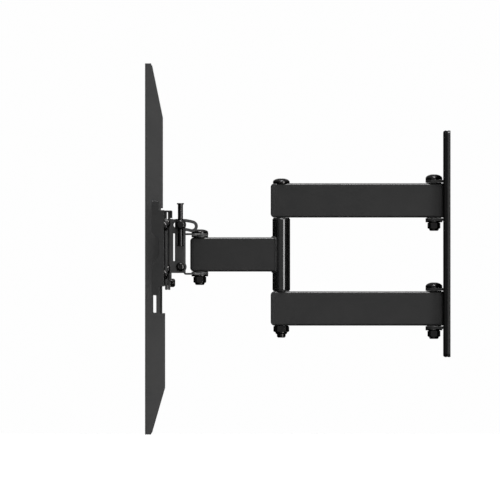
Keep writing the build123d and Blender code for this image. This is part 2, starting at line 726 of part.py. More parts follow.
# two cheeks welded to the ends of the clevis web carry the tilt pivot and the lock
cheek_height = CHEEK_TOP_Z - CHEEK_BOTTOM_Z
cheek_middle = ((HEAD_WEB_BACK_Y + CHEEK_FRONT_Y) / 2, (CHEEK_TOP_Z + CHEEK_BOTTOM_Z) / 2)
inner_cheek_x = CHEEK_OUTER_X - CHEEK_SHEET
cheek_starts = {"left": -CHEEK_OUTER_X, "right": inner_cheek_x}
for side, cheek_x in cheek_starts.items():
    with BuildPart() as cheek:
        with BuildSketch(Plane.YZ.offset(cheek_x)):
            with Locations(cheek_middle):
                RectangleRounded(HEAD_WEB_BACK_Y - CHEEK_FRONT_Y, cheek_height, CHEEK_CORNER)
            with Locations((TILT_Y, TILT_Z), (TILT_Y, LOCK_Z)):
                Circle(M6 / 2 + RUN_CLEARANCE, mode=Mode.SUBTRACT)
        extrude(amount=CHEEK_SHEET)
        outer_face = cheek.faces().filter_by(Axis.X).sort_by(Axis.X)[0 if cheek_x < 0 else -1]
        fillet(outer_face.outer_wire().edges(), CHEEK_ROUND)
    finish(cheek.part, f"{side}_cheek")

tilt_head_seat = EAR_OUTER_X + RUN_GAP
pivot_bolt_length = 2 * tilt_head_seat + M6_NUT_HEIGHT + M6_THREAD_OUT
pivot_bolt = dome_bolt(M6_HEAD, M6_HEAD_HEIGHT, M6, pivot_bolt_length, M6_SOCKET)
m6_nut = lock_nut(M6_NUT_FLATS, M6_NUT_HEIGHT, M6)
pivot_bolt_seat = at(tilt_head_seat, TILT_Y, TILT_Z, HEAD_TO_PLUS_X)
pivot_nut_seat = at(-tilt_head_seat, TILT_Y, TILT_Z, HEAD_TO_MINUS_X)
finish(group([(pivot_bolt, [pivot_bolt_seat])]), "tilt_pivot_bolt")
finish(group([(m6_nut, [pivot_nut_seat])]), "tilt_pivot_nut")

tilt_washer = washer(TILT_WASHER_DIAMETER, M6 + 2 * RUN_CLEARANCE, TILT_WASHER)
tilt_washer_seats = [
    at(CHEEK_OUTER_X, TILT_Y, TILT_Z, HEAD_TO_PLUS_X),
    at(-CHEEK_OUTER_X, TILT_Y, TILT_Z, HEAD_TO_MINUS_X),
]
lock_washer = washer(LOCK_WASHER_DIAMETER, M6 + 2 * RUN_CLEARANCE, TILT_WASHER)
lock_washer_seats = [
    at(CHEEK_OUTER_X, TILT_Y, LOCK_Z, HEAD_TO_PLUS_X),
    at(-CHEEK_OUTER_X, TILT_Y, LOCK_Z, HEAD_TO_MINUS_X),
]
finish(
    group([(tilt_washer, tilt_washer_seats), (lock_washer, lock_washer_seats)]),
    "tilt_washers",
)

# far side of the tilt lock: a plain guide bolt rides in the other slot
guide_bolt_length = tilt_head_seat - LOCK_THREAD_END_X
guide_bolt = dome_bolt(M6_HEAD, M6_HEAD_HEIGHT, M6, guide_bolt_length, M6_SOCKET)
guide_seat = at(-tilt_head_seat, TILT_Y, LOCK_Z, HEAD_TO_MINUS_X)
inner_nut_seats = [
    at(-inner_cheek_x, TILT_Y, LOCK_Z, HEAD_TO_PLUS_X),
    at(inner_cheek_x, TILT_Y, LOCK_Z, HEAD_TO_MINUS_X),
]
finish(group([(guide_bolt, [guide_seat])]), "tilt_guide_bolt")
finish(group([(m6_nut, inner_nut_seats)]), "lock_weld_nuts")

# ---- tilt lock screw and sliding bar ------------------------------------------------------------

hub_start_x = EAR_OUTER_X + RUN_GAP + LOCK_COLLAR
bar_x = hub_start_x + LOCK_HUB_LENGTH / 2
lock_plane = Plane(
    origin=(EAR_OUTER_X + RUN_GAP, TILT_Y, LOCK_Z),
    x_dir=(0, 1, 0),
    z_dir=(1, 0, 0),
)

with BuildPart() as lock_screw:
    with BuildSketch(lock_plane):
        Circle(M6 / 2)
    extrude(amount=LOCK_THREAD_END_X - EAR_OUTER_X - RUN_GAP)
    with BuildSketch(lock_plane):
        Circle(LOCK_COLLAR_RADIUS)
    extrude(amount=LOCK_COLLAR)
    with BuildSketch(lock_plane.offset(LOCK_COLLAR)):
        Circle(LOCK_HUB_DIAMETER / 2)
    extrude(amount=LOCK_HUB_LENGTH)
    fillet(lock_screw.faces().sort_by(Axis.X)[-1].edges(), LOCK_HUB_ROUND)
    with Locations((bar_x, TILT_Y, LOCK_Z)):
        Cylinder(BAR_DIAMETER / 2 + RUN_CLEARANCE, BAR_LENGTH, mode=Mode.SUBTRACT)
finish(lock_screw.part, "tilt_lock_screw")

bar_bottom = LOCK_Z - BAR_LENGTH / 2
bar_top = LOCK_Z + BAR_LENGTH / 2
with BuildPart() as tommy_bar:
    with BuildSketch(Plane.XY.offset(bar_bottom)):
        with Locations((bar_x, TILT_Y)):
            Circle(BAR_DIAMETER / 2)
    extrude(amount=BAR_LENGTH - BAR_BUTTON_THICKNESS)
    with BuildSketch(Plane.XY.offset(bar_bottom)):
        with Locations((bar_x, TILT_Y)):
            Circle(BAR_BUTTON / 2)
    extrude(amount=BAR_BUTTON_THICKNESS)
    fillet(tommy_bar.faces().sort_by(Axis.Z)[0].edges(), BAR_EDGE)
finish(tommy_bar.part, "tommy_bar")

with BuildPart() as tommy_bar_cap:
    with BuildSketch(Plane.XY.offset(bar_top - BAR_BUTTON_THICKNESS)):
        with Locations((bar_x, TILT_Y)):
            Circle(BAR_BUTTON / 2)
    extrude(amount=BAR_BUTTON_THICKNESS)
    fillet(tommy_bar_cap.faces().sort_by(Axis.Z)[-1].edges(), BAR_EDGE)
finish(tommy_bar_cap.part, "tommy_bar_cap")

# ---- tilting yoke -------------------------------------------------------------------------------

SLOT_EASE = 0.6
GUSSET_Z = 12.1
LUG_EXTRA = 1.5
EAR_CUT_DEPTH = 60.0
EAR_CUT_HEIGHT = 200.0
slot_start = 90 - TILT_FORWARD - SLOT_EASE
slot_size = TILT_FORWARD + TILT_BACK + 2 * SLOT_EASE
slot_arc = CenterArc((TILT_Y, TILT_Z), LOCK_RADIUS, slot_start, slot_size)
lug_arc = CenterArc((TILT_Y, TILT_Z), LOCK_RADIUS, slot_start, slot_size + LUG_EXTRA)
tongue_top = CROSS_TOP_Z - CROSS_LIP

with BuildPart() as tilt_yoke:
    with BuildSketch(Plane.YZ):
        rim_middle = ((YOKE_FRONT_Y + YOKE_RIM_Y) / 2, (YOKE_TOP_Z + YOKE_BOTTOM_Z) / 2)
        with Locations(rim_middle):
            Rectangle(YOKE_RIM_Y - YOKE_FRONT_Y, YOKE_TOP_Z - YOKE_BOTTOM_Z)
        SlotArc(lug_arc, LOCK_SLOT + 2 * LOCK_SLOT_WALL)
        with BuildLine():
            Polyline(
                (YOKE_FRONT_Y, TILT_Z + LOWER_EAR_RADIUS),
                (TILT_Y, TILT_Z + LOWER_EAR_RADIUS),
                (TILT_Y, YOKE_BOTTOM_Z),
                (YOKE_FRONT_Y + YOKE_SKIRT_DEPTH, YOKE_BOTTOM_Z),
                (YOKE_FRONT_Y + YOKE_SKIRT_DEPTH, YOKE_SKIRT_Z),
                (YOKE_FRONT_Y, YOKE_SKIRT_Z),
                close=True,
            )
        make_face()
        with BuildLine():
            Polyline(
                (YOKE_RIM_Y, LOCK_Z),
                (TILT_Y, LOCK_Z),
                (CHEEK_FRONT_Y, GUSSET_Z),
                (YOKE_RIM_Y, GUSSET_Z),
                close=True,
            )
        make_face()
        with Locations((TILT_Y, TILT_Z)):
            Circle(LOWER_EAR_RADIUS)
    extrude(amount=EAR_OUTER_X, both=True)
    fillet(tilt_yoke.edges().filter_by(Axis.Z).group_by(Axis.Y)[0], YOKE_BEND)
    with Locations((0, YOKE_BACK_Y + EAR_CUT_DEPTH / 2, 0)):
        Box(2 * EAR_INNER_X, EAR_CUT_DEPTH, EAR_CUT_HEIGHT, mode=Mode.SUBTRACT)
    with BuildSketch(Plane.YZ):
        SlotArc(slot_arc, LOCK_SLOT)
        with Locations((TILT_Y, TILT_Z)):
            Circle(M6 / 2 + RUN_CLEARANCE)
    extrude(amount=2 * EAR_OUTER_X, both=True, mode=Mode.SUBTRACT)
    sheet_middle_y = (YOKE_FRONT_Y + YOKE_BACK_Y) / 2
    with Locations((0, sheet_middle_y, (YOKE_TOP_Z + tongue_top) / 2)):
        Box(2 * TONGUE_HALF_WIDTH, YOKE_BACK_Y - YOKE_FRONT_Y, tongue_top - YOKE_TOP_Z)
    with BuildSketch(Plane.XZ.offset(-YOKE_BACK_Y)):
        with Locations((0, (YOKE_BOTTOM_Z + THUMB_Z) / 2)):
            Rectangle(2 * YOKE_TAB_HALF_WIDTH, YOKE_BOTTOM_Z - THUMB_Z)
        with Locations((0, THUMB_Z)):
            Circle(THUMB_TAB_RADIUS)
    extrude(amount=YOKE_BACK_Y - YOKE_FRONT_Y)
    with BuildSketch(Plane.XZ.offset(-YOKE_BACK_Y)):
        with Locations((0, THUMB_Z)):
            Circle(M6 / 2 + THUMB_HOLE_EASE)
    extrude(amount=YOKE_BACK_Y - YOKE_FRONT_Y, mode=Mode.SUBTRACT)
finish(tilt_yoke.part, "tilt_yoke")

# ---- hanger plate and thumb screw ---------------------------------------------------------------

hanger_bolt_places = [(x, z) for x in (-HANGER_BOLT_X, HANGER_BOLT_X) for z in HANGER_BOLT_Z]
with BuildPart() as hanger_plate:
    with BuildSketch(Plane.XZ.offset(-HANGER_BACK_Y)):
        with Locations((0, (YOKE_TOP_Z + HANGER_BOTTOM_Z) / 2)):
            RectangleRounded(2 * HANGER_HALF_WIDTH, YOKE_TOP_Z - HANGER_BOTTOM_Z, HANGER_CORNER)
        with Locations((0, THUMB_Z)):
            Circle(THUMB_TAB_RADIUS)
            Circle(M6 / 2 + RUN_CLEARANCE, mode=Mode.SUBTRACT)
        with Locations(*hanger_bolt_places):
            Circle(M6 / 2 + RUN_CLEARANCE, mode=Mode.SUBTRACT)
    extrude(amount=HANGER_SHEET)
    chamfer(hanger_plate.faces().sort_by(Axis.Y)[0].outer_wire().edges(), HANGER_EDGE)
    chamfer(hanger_plate.faces().sort_by(Axis.Y)[-1].outer_wire().edges(), HANGER_EDGE)
finish(hanger_plate.part, "hanger_plate")

thumb_plane = Plane(
    origin=(0, YOKE_BACK_Y + RUN_GAP, THUMB_Z),
    x_dir=(1, 0, 0),
    z_dir=(0, 1, 0),
)
KNOB_RADIUS = 5.0
KNOB_LENGTH = 5.6
KNOB_ROUND = 2.6
KNURLS = 24
KNURL_RADIUS = 0.4
KNURL_SETBACK = 0.15
with BuildPart() as thumb_screw:
    with BuildSketch(thumb_plane):
        Circle(KNOB_RADIUS)
        with PolarLocations(KNOB_RADIUS + KNURL_SETBACK, KNURLS):
            Circle(KNURL_RADIUS, mode=Mode.SUBTRACT)
    extrude(amount=KNOB_LENGTH)
    with BuildSketch(Plane.YZ):
        knob_start = YOKE_BACK_Y + RUN_GAP
        with Locations((knob_start + KNOB_LENGTH / 2, THUMB_Z + KNOB_RADIUS / 2)):
            Rectangle(KNOB_LENGTH, KNOB_RADIUS)
        outer = vertices().group_by(Axis.Y)[-1].sort_by(Axis.X)[-1]
        fillet(outer, KNOB_ROUND)
    revolve(axis=Axis((0, knob_start, THUMB_Z), (0, 1, 0)), mode=Mode.INTERSECT)
    with BuildSketch(thumb_plane):
        Circle(M6 / 2)
    extrude(amount=-(YOKE_BACK_Y - HANGER_BACK_Y + HANGER_SHEET))
finish(thumb_screw.part, "thumb_screw")

# ---- cross plate --------------------------------------------------------------------------------

cross_height = CROSS_TOP_Z - CROSS_BOTTOM_Z
cross_middle_z = (CROSS_TOP_Z + CROSS_BOTTOM_Z) / 2
cross_front_y = CROSS_BACK_Y - CROSS_SHEET
adjust_slot_places = [(x, z) for x in (-ADJUST_SLOT_X, ADJUST_SLOT_X) for z in RAIL_BOLT_Z]
waist_y = CROSS_LIP_Y
UPPER_WAIST_Z = (13.8, 4.5)
LOWER_WAIST_Z = (-15.3, -23.5)
end_flange_outline = [
    (CROSS_BACK_Y, CROSS_TOP_Z),
    (waist_y, CROSS_TOP_Z),
    (waist_y, FLANGE_TOP_Z),
    (FLANGE_FRONT_Y, FLANGE_TOP_Z),
    (FLANGE_FRONT_Y, UPPER_WAIST_Z[0]),
    (waist_y, UPPER_WAIST_Z[1]),
    (waist_y, LOWER_WAIST_Z[0]),
    (FLANGE_FRONT_Y, LOWER_WAIST_Z[1]),
    (FLANGE_FRONT_Y, FLANGE_BOTTOM_Z),
    (waist_y, FLANGE_BOTTOM_Z),
    (waist_y, CROSS_BOTTOM_Z),
    (CROSS_BACK_Y, CROSS_BOTTOM_Z),
]

with BuildPart() as cross_plate:
    with BuildSketch(Plane.XZ.offset(-CROSS_BACK_Y)):
        with Locations((0, cross_middle_z)):
            Rectangle(2 * CROSS_HALF_WIDTH, cross_height)
    extrude(amount=CROSS_BACK_Y - CROSS_LIP_Y)
    pocket_depth = cross_front_y - CROSS_LIP_Y
    with BuildSketch(Plane.XZ.offset(-cross_front_y)):
        with Locations((0, cross_middle_z)):
            Rectangle(2 * (CROSS_HALF_WIDTH - CROSS_SHEET), cross_height - 2 * CROSS_LIP)
    extrude(amount=pocket_depth, mode=Mode.SUBTRACT)
    with BuildSketch(Plane.YZ.offset(CROSS_HALF_WIDTH - CROSS_SHEET)):
        Polygon(*end_flange_outline, align=None)
    extrude(amount=CROSS_SHEET)
    with BuildSketch(Plane.YZ.offset(-CROSS_HALF_WIDTH)):
        Polygon(*end_flange_outline, align=None)
    extrude(amount=CROSS_SHEET)
    with BuildSketch(Plane.XZ.offset(-CROSS_BACK_Y)):
        with Locations(*adjust_slot_places):
            SlotOverall(ADJUST_SLOT_LENGTH, M6 + ADJUST_SLOT_CLEARANCE)
        with Locations(*hanger_bolt_places):
            Circle(M6 / 2 + RUN_CLEARANCE)
    extrude(amount=CROSS_SHEET, mode=Mode.SUBTRACT)
    with BuildSketch(Plane.YZ):
        Polygon(
            (cross_front_y, CROSS_TOP_Z),
            (HOOK_BACK_Y - HOOK_EASE, CROSS_TOP_Z),
            (HOOK_BACK_Y, CROSS_TOP_Z - HOOK_EASE),
            (HOOK_BACK_Y, HOOK_LIP_Z),
            (YOKE_BACK_Y + HOOK_GAP, HOOK_LIP_Z),
            (YOKE_BACK_Y + HOOK_GAP, tongue_top),
            (CROSS_BACK_Y + HOOK_ROOT, tongue_top),
            (CROSS_BACK_Y + HOOK_ROOT, HOOK_ROOT_Z),
            (cross_front_y, HOOK_ROOT_Z),
            align=None,
        )
    extrude(amount=HOOK_HALF_WIDTH, both=True)
finish(cross_plate.part, "cross_plate")

hanger_bolt = dome_bolt(
    M6_HEAD, M6_HEAD_HEIGHT, M6, HANGER_BACK_Y - cross_front_y + M6_NUT_HEIGHT, M6_SOCKET
)
hanger_bolts = [at(x, HANGER_BACK_Y, z, HEAD_TO_WALL) for x, z in hanger_bolt_places]
hanger_nuts = [at(x, cross_front_y, z, HEAD_TO_TV) for x, z in hanger_bolt_places]
hanger_gap = HANGER_BACK_Y - HANGER_SHEET - CROSS_BACK_Y
hanger_washer = washer(HANGER_WASHER_DIAMETER, M6 + 2 * RUN_CLEARANCE, hanger_gap)
hanger_washers = [at(x, CROSS_BACK_Y, z, HEAD_TO_WALL) for x, z in hanger_bolt_places]
finish(group([(hanger_bolt, hanger_bolts)]), "hanger_bolts")
finish(group([(hanger_washer, hanger_washers)]), "hanger_washers")
finish(group([(m6_nut, hanger_nuts)]), "hanger_nuts")

# ---- upright rails ------------------------------------------------------------------------------

rail_top = RAIL_CENTRE_Z + RAIL_HALF_LENGTH
rail_bottom = RAIL_CENTRE_Z - RAIL_HALF_LENGTH
UPPER_FLANGE_Y = CROSS_BACK_Y - 2.6
TIP_DEPTH = 7.0
NOTCH_TOP_Z = 41.8
NOTCH_BOTTOM_Z = -81.2
UPPER_TAPER_Z = 147.9
LOWER_TAPER_Z = -168.7
rail_outline = [
    (RAIL_FRONT_Y, rail_top),
    (RAIL_FRONT_Y + TIP_DEPTH, rail_top),
    (UPPER_FLANGE_Y, UPPER_TAPER_Z),
    (UPPER_FLANGE_Y, NOTCH_TOP_Z),
    (RAIL_NOTCH_Y, NOTCH_TOP_Z),
    (RAIL_NOTCH_Y, NOTCH_BOTTOM_Z),
    (CROSS_BACK_Y, NOTCH_BOTTOM_Z),
    (CROSS_BACK_Y, LOWER_TAPER_Z),
    (RAIL_FRONT_Y + TIP_DEPTH, rail_bottom),
    (RAIL_FRONT_Y, rail_bottom),
]
VESA_Z = (-200, -100, 100, 200)
RAIL_SLOT_Z = (-150, -50, 50, 150)
WINDOW_ROUND = 1.0
window_low = (RAIL_FRONT_Y + 8.3, -80.6)
window_high = (RAIL_FRONT_Y + 13.0, -59.7)
window_size = (window_high[0] - window_low[0], window_high[1] - window_low[1])
window_middle = ((window_high[0] + window_low[0]) / 2, (window_high[1] + window_low[1]) / 2)
rail_sides = {"left": -RAIL_X, "right": RAIL_X}

for side, rail_x in rail_sides.items():
    rail_plane = Plane.XZ.offset(-RAIL_FRONT_Y - RAIL_SHEET)
    with BuildPart() as rail:
        with BuildSketch(Plane.YZ.offset(rail_x)):
            Polygon(*rail_outline, align=None)
        extrude(amount=RAIL_HALF_WIDTH, both=True)
        front_edges = rail.faces().sort_by(Axis.Y)[0].edges().filter_by(Axis.Z)
        fillet(front_edges, RAIL_ROUND)
        with BuildSketch(rail_plane):
            with Locations((rail_x, RAIL_CENTRE_Z)):
                Rectangle(2 * (RAIL_HALF_WIDTH - RAIL_SHEET), 3 * RAIL_HALF_LENGTH)
        extrude(amount=2 * (RAIL_FRONT_Y - CROSS_BACK_Y), mode=Mode.SUBTRACT)
        with BuildSketch(rail_plane):
            with Locations(*[(rail_x, RAIL_CENTRE_Z + z) for z in VESA_Z]):
                Circle(RAIL_SLOT_WIDTH / 2)
            with Locations(*[(rail_x, RAIL_CENTRE_Z + z) for z in RAIL_SLOT_Z]):
                SlotOverall(RAIL_SLOT_LENGTH, RAIL_SLOT_WIDTH, rotation=90)
        extrude(amount=RAIL_SHEET, mode=Mode.SUBTRACT)
        with BuildSketch(Plane.YZ.offset(rail_x)):
            with Locations(window_middle):
                RectangleRounded(*window_size, WINDOW_ROUND)
        extrude(amount=2 * RAIL_HALF_WIDTH, both=True, mode=Mode.SUBTRACT)
    finish(rail.part, f"{side}_rail")

# a saddle inside each rail takes the bolts that clamp the rail to the cross plate
SADDLE_TOP_Z = 36.0
SADDLE_BOTTOM_Z = -52.0
SADDLE_BEND = 2.0
saddle_half_width = RAIL_HALF_WIDTH - RAIL_SHEET
saddle_height = SADDLE_TOP_Z - SADDLE_BOTTOM_Z
saddle_front_y = RAIL_FRONT_Y + RAIL_SHEET
saddle_middle_y = (RAIL_NOTCH_Y + saddle_front_y) / 2
for side, rail_x in rail_sides.items():
    with BuildPart() as saddle:
        with BuildSketch(Plane.XY.offset(SADDLE_BOTTOM_Z)):
            with Locations((rail_x, saddle_middle_y)):
                Rectangle(2 * saddle_half_width, RAIL_NOTCH_Y - saddle_front_y)
            fillet(vertices().group_by(Axis.Y)[-1], SADDLE_BEND)
            with Locations((rail_x, saddle_middle_y - RAIL_SHEET)):
                Rectangle(
                    2 * (saddle_half_width - RAIL_SHEET),
                    RAIL_NOTCH_Y - saddle_front_y,
                    mode=Mode.SUBTRACT,
                )
        extrude(amount=saddle_height)
        with BuildSketch(Plane.XZ.offset(-RAIL_NOTCH_Y)):
            with Locations(*[(rail_x, z) for z in RAIL_BOLT_Z]):
                Circle(M6 / 2 + RUN_CLEARANCE)
        extrude(amount=RAIL_SHEET, mode=Mode.SUBTRACT)
    finish(saddle.part, f"{side}_rail_saddle")

rail_bolt_places = [(x, z) for x in rail_sides.values() for z in RAIL_BOLT_Z]
rail_bolt_washer = 1.2
rail_bolt_seat_y = CROSS_BACK_Y + rail_bolt_washer
rail_nut_seat_y = RAIL_NOTCH_Y - RAIL_SHEET
rail_spacer_length = cross_front_y - RAIL_NOTCH_Y
rail_bolt_length = rail_bolt_seat_y - rail_nut_seat_y + M6_NUT_HEIGHT
rail_bolt = dome_bolt(M6_HEAD, M6_HEAD_HEIGHT, M6, rail_bolt_length, M6_SOCKET)
wide_washer = washer(WIDE_WASHER_DIAMETER, M6 + 2 * RUN_CLEARANCE, rail_bolt_washer)
rail_spacer = washer(WIDE_WASHER_DIAMETER, M6 + 2 * RUN_CLEARANCE, rail_spacer_length)
rail_bolts = [at(x, rail_bolt_seat_y, z, HEAD_TO_WALL) for x, z in rail_bolt_places]
rail_washers = [at(x, CROSS_BACK_Y, z, HEAD_TO_WALL) for x, z in rail_bolt_places]
rail_spacers = [at(x, RAIL_NOTCH_Y, z, HEAD_TO_WALL) for x, z in rail_bolt_places]
rail_nuts = [at(x, rail_nut_seat_y, z, HEAD_TO_TV) for x, z in rail_bolt_places]
finish(group([(rail_bolt, rail_bolts)]), "rail_bolts")
finish(group([(wide_washer, rail_washers)]), "rail_washers")
finish(group([(rail_spacer, rail_spacers)]), "rail_spacers")
finish(group([(m6_nut, rail_nuts)]), "rail_nuts")

# an anti-lift strip stands in each rail, its top just under the cross plate's lower lip
STRIP_HALF_WIDTH = 6.0
STRIP_SHEET = 1.5
STRIP_BOTTOM_Z = -96.0
STRIP_CORNER = 1.5
M4 = 4.0
M4_HEAD = 7.0
M4_HEAD_HEIGHT = 1.9
M4_SOCKET = 2.5
BLOCK_TOP_Z = -83.0
BLOCK_BOTTOM_Z = -97.0
BLOCK_DEPTH = 6.0
STRIP_SCREW_Z = -90.0
strip_front_y = CROSS_BACK_Y - 4.8
strip_back_y = strip_front_y + STRIP_SHEET
strip_top_z = CROSS_BOTTOM_Z - 0.2
for side, rail_x in rail_sides.items():
    with BuildPart() as strip:
        with BuildSketch(Plane.XZ.offset(-strip_back_y)):
            with Locations((rail_x, (strip_top_z + STRIP_BOTTOM_Z) / 2)):
                RectangleRounded(2 * STRIP_HALF_WIDTH, strip_top_z - STRIP_BOTTOM_Z, STRIP_CORNER)
            with Locations((rail_x, STRIP_SCREW_Z)):
                Circle(M4 / 2 + RUN_CLEARANCE, mode=Mode.SUBTRACT)
        extrude(amount=STRIP_SHEET)
    finish(strip.part, f"{side}_rail_strip")
    with BuildPart() as block:
        with BuildSketch(Plane.XZ.offset(-strip_front_y)):
            with Locations((rail_x, (BLOCK_TOP_Z + BLOCK_BOTTOM_Z) / 2)):
                Rectangle(2 * saddle_half_width, BLOCK_TOP_Z - BLOCK_BOTTOM_Z)
            with Locations((rail_x, STRIP_SCREW_Z)):
                Circle(M4 / 2 + RUN_CLEARANCE, mode=Mode.SUBTRACT)
        extrude(amount=BLOCK_DEPTH)
    finish(block.part, f"{side}_strip_block")

strip_screw = dome_bolt(M4_HEAD, M4_HEAD_HEIGHT, M4, STRIP_SHEET + BLOCK_DEPTH, M4_SOCKET)
strip_screws = [at(x, strip_back_y, STRIP_SCREW_Z, HEAD_TO_WALL) for x in rail_sides.values()]
finish(group([(strip_screw, strip_screws)]), "strip_screws")
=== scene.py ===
"""Looks for the full motion TV wall mount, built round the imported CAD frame.

Everything is in metres in the CAD frame: the wall is the plane Y = 0, the room is on -Y, +Z is up.
"""

import json
from math import cos, pi, radians, sin, sqrt

import bmesh
import bpy
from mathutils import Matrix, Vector


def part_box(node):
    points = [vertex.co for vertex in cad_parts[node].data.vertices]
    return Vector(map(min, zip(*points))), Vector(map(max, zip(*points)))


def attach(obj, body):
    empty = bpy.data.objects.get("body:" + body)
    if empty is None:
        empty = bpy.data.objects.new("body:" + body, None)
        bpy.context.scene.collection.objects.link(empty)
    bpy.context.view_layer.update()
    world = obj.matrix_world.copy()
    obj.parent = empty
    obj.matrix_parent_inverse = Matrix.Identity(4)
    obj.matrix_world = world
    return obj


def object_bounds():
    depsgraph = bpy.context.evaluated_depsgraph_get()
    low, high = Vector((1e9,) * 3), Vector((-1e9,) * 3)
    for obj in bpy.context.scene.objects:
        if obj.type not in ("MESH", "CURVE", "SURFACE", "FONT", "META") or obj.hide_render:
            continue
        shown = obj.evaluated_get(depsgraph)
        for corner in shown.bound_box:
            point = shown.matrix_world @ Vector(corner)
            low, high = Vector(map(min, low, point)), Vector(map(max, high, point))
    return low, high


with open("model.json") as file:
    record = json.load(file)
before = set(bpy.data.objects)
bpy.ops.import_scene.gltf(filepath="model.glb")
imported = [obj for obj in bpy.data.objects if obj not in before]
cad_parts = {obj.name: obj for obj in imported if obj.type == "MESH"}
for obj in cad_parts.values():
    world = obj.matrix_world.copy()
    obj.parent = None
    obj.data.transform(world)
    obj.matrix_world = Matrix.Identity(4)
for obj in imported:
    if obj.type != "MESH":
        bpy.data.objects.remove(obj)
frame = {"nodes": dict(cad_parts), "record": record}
cad_low, cad_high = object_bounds()
nodes = frame["nodes"]
MM = 0.001

# ---- camera: level, square on to the mount's side, a very long lens ------------------------------

LENS_MM = 1200.0
SENSOR_MM = 36.0
VIEW_WIDTH = 583.1 * MM
VIEW_CENTRE_Y = -233.5 * MM
VIEW_CENTRE_Z = -7.2 * MM
CAMERA_DISTANCE = VIEW_WIDTH * LENS_MM / SENSOR_MM
CLIP_START = 0.1
CLIP_END = 80

camera_data = bpy.data.cameras.new("camera")
camera_data.lens = LENS_MM
camera_data.sensor_width = SENSOR_MM
camera_data.clip_start = CLIP_START
camera_data.clip_end = CLIP_END
camera = bpy.data.objects.new("camera", camera_data)
camera.location = (CAMERA_DISTANCE, VIEW_CENTRE_Y, VIEW_CENTRE_Z)
camera.rotation_euler = (radians(90), 0, radians(90))
bpy.context.scene.collection.objects.link(camera)
bpy.context.scene.camera = camera
bpy.context.scene.view_settings.view_transform = "Standard"

# ---- node helpers --------------------------------------------------------------------------------

# A colour Mix node's sockets share their names with its other data types, so they go by number.
MIX_FACTOR = 0
MIX_FIRST = 6
MIX_SECOND = 7
MIX_RESULT = 2

BEVEL_SAMPLES = 6
EASED_BELOW = 0.75  # cosine of the turn at which an edge counts as fully eased
MID_NOISE = (0.3, 0.7)  # where most of a noise's values lie
NEUTRAL = (1.0, 1.0, 1.0)


def grey(level, tint=NEUTRAL):
    """A near-neutral colour, in linear light."""
    return (level * tint[0], level * tint[1], level * tint[2], 1.0)


